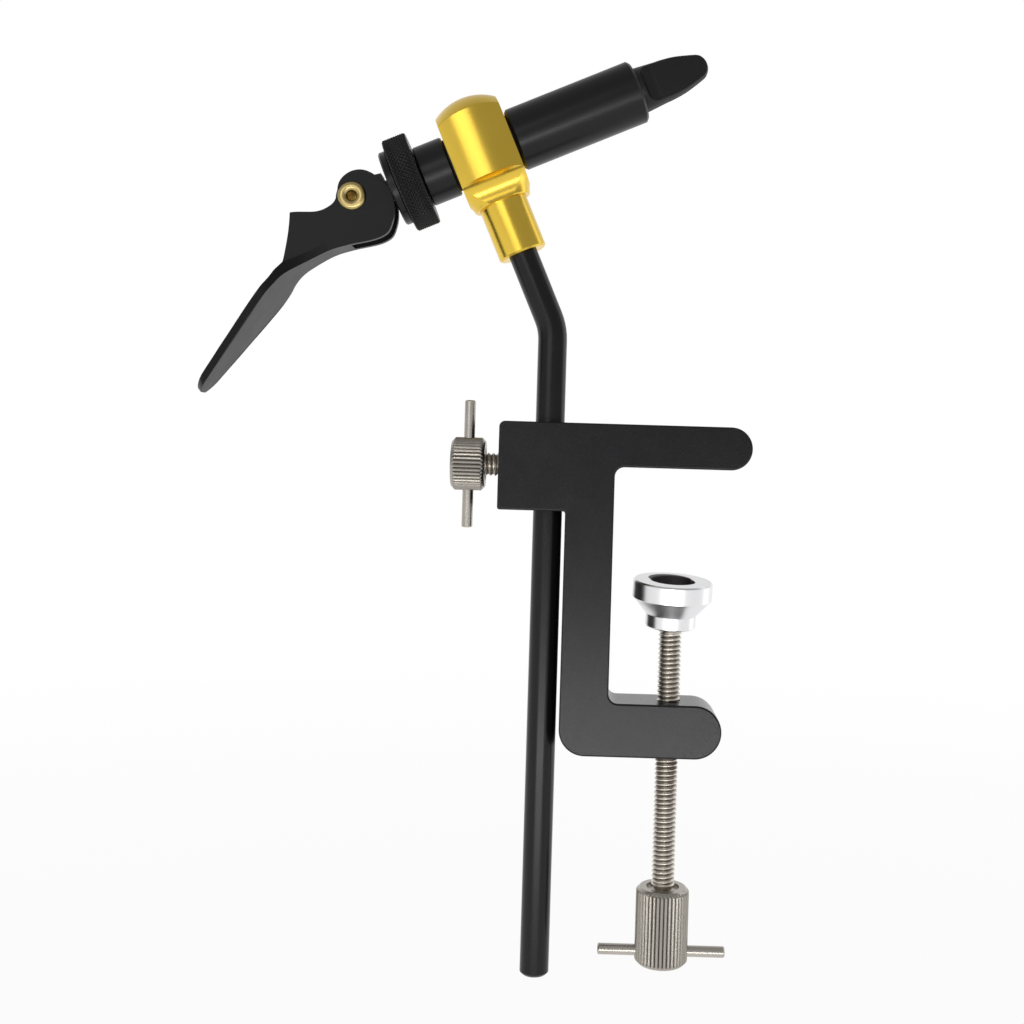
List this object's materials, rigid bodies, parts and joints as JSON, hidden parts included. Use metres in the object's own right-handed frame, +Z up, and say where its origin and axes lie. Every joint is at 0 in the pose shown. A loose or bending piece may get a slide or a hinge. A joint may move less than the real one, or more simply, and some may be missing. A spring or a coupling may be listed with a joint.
{
  "type": "fly tying vise",
  "caption": "Fly tying vise: a C clamp holds a bent stem, and on it a turning barrel whose cam lever draws a pair of hook jaws shut.",
  "frame": {"origin": "where the clamp screw's axis meets the underside of the clamp's top arm, the face that sits on the table", "axes": "+Z up along the stem and the clamp screw, +X from the stem towards the clamp's open mouth, +Y across the plate to the back"},
  "size_m": [0.1517, 0.026, 0.2528],
  "materials": {
    "black_powder_coat": "satin black powder coat with a fine grain",
    "black_gloss_paint": "gloss black",
    "black_knurl": "black, knurled rim",
    "black_satin_cast": "satin black over a cast surface",
    "black_jaw_steel": "blackened hardened steel",
    "gold_anodised": "bright gold anodised",
    "nickel_plate": "bright nickel plate",
    "bright_chrome": "bright turned and plated",
    "brass": "plain brass",
    "plain_steel": "plain steel",
    "dark_fibre": "dark fibre washer"
  },
  "bodies": {
    "clamp": {"clamp_body": "black_powder_coat"},
    "pad": {"clamp_pad": "bright_chrome"},
    "screw": {"clamp_screw": "nickel_plate", "clamp_knob": "nickel_plate", "clamp_tee_bar": "nickel_plate"},
    "shoe": {"lock_shoe": "brass"},
    "lock": {"lock_screw": "nickel_plate", "lock_knob": "nickel_plate", "lock_tee_bar": "nickel_plate"},
    "post": {"stem": "black_gloss_paint", "barrel_head": "gold_anodised", "head_grub_screw": "plain_steel"},
    "barrel": {"collet_sleeve": "black_gloss_paint", "rear_collar": "black_gloss_paint", "friction_washer_front": "dark_fibre", "friction_washer_rear": "dark_fibre", "return_spring": "plain_steel"},
    "thrust": {"thrust_washer": "black_knurl"},
    "nut": {"adjusting_nut": "black_knurl"},
    "draw": {"draw_bar": "black_jaw_steel", "draw_eye": "black_jaw_steel", "jaw_spring": "plain_steel"},
    "lever": {"cam_lever": "black_satin_cast", "lever_pin": "brass"},
    "jaw_n": {"jaw_near": "black_jaw_steel"},
    "jaw_f": {"jaw_far": "black_jaw_steel"}
  },
  "joints": [
    {"name": "pad_slide", "type": "slide", "parent": "clamp", "child": "pad", "axis": [0, 0, 1], "range_m": [-0.01778, 0.02794]},
    {"name": "screw_turn", "type": "hinge", "parent": "pad", "child": "screw", "pos_m": [0, 0, -0.04], "axis": [0, 0, 1], "range_deg": [-5040, 7920]},
    {"name": "shoe_slide", "type": "slide", "parent": "clamp", "child": "shoe", "axis": [1, 0, 0], "range_m": [-0.00254, 0]},
    {"name": "lock_turn", "type": "hinge", "parent": "shoe", "child": "lock", "pos_m": [-0.051, 0, -0.00035], "axis": [1, 0, 0], "range_deg": [-720, 0]},
    {"name": "post_slide", "type": "slide", "parent": "clamp", "child": "post", "axis": [0, 0, 1], "range_m": [-0.018, 0.1]},
    {"name": "barrel_turn", "type": "hinge", "parent": "post", "child": "barrel", "pos_m": [-0.0552, 0, 0.08479], "axis": [0.9171, 0, 0.3987], "continuous": true},
    {"name": "thrust_slide", "type": "slide", "parent": "barrel", "child": "thrust", "axis": [0.9171, 0, 0.3987], "range_m": [-0.001, 0]},
    {"name": "nut_turn", "type": "hinge", "parent": "thrust", "child": "nut", "pos_m": [-0.07464, 0, 0.07633], "axis": [0.9171, 0, 0.3987], "range_deg": [-360, 0]},
    {"name": "draw_slide", "type": "slide", "parent": "thrust", "child": "draw", "axis": [0.9171, 0, 0.3987], "range_m": [-0.00283, 0], "deforming": ["return_spring"]},
    {"name": "lever_swing", "type": "hinge", "parent": "draw", "child": "lever", "pos_m": [-0.08996, 0, 0.0712], "axis": [0, -1, 0], "range_deg": [0, 45]},
    {"name": "jaw_near_close", "type": "hinge", "parent": "draw", "child": "jaw_n", "pos_m": [-0.02933, 0, 0.09603], "axis": [-0.3987, 0, 0.9171], "range_deg": [0, 0.8], "deforming": ["jaw_spring"]},
    {"name": "jaw_far_close", "type": "hinge", "parent": "draw", "child": "jaw_f", "pos_m": [-0.02933, 0, 0.09603], "axis": [0.3987, 0, -0.9171], "range_deg": [0, 0.8]}
  ],
  "couplings": [
    {"joint": "screw_turn", "follows": "pad_slide", "rad_per_m": 4947.4},
    {"joint": "lock_turn", "follows": "shoe_slide", "rad_per_m": 4947.4},
    {"joint": "nut_turn", "follows": "thrust_slide", "rad_per_m": 6283.2},
    {"joint": "draw_slide", "follows": "lever_swing", "m_per_rad": -0.0036},
    {"joint": "jaw_near_close", "follows": "lever_swing", "ratio": 0.017778},
    {"joint": "jaw_far_close", "follows": "lever_swing", "ratio": 0.017778}
  ]
}
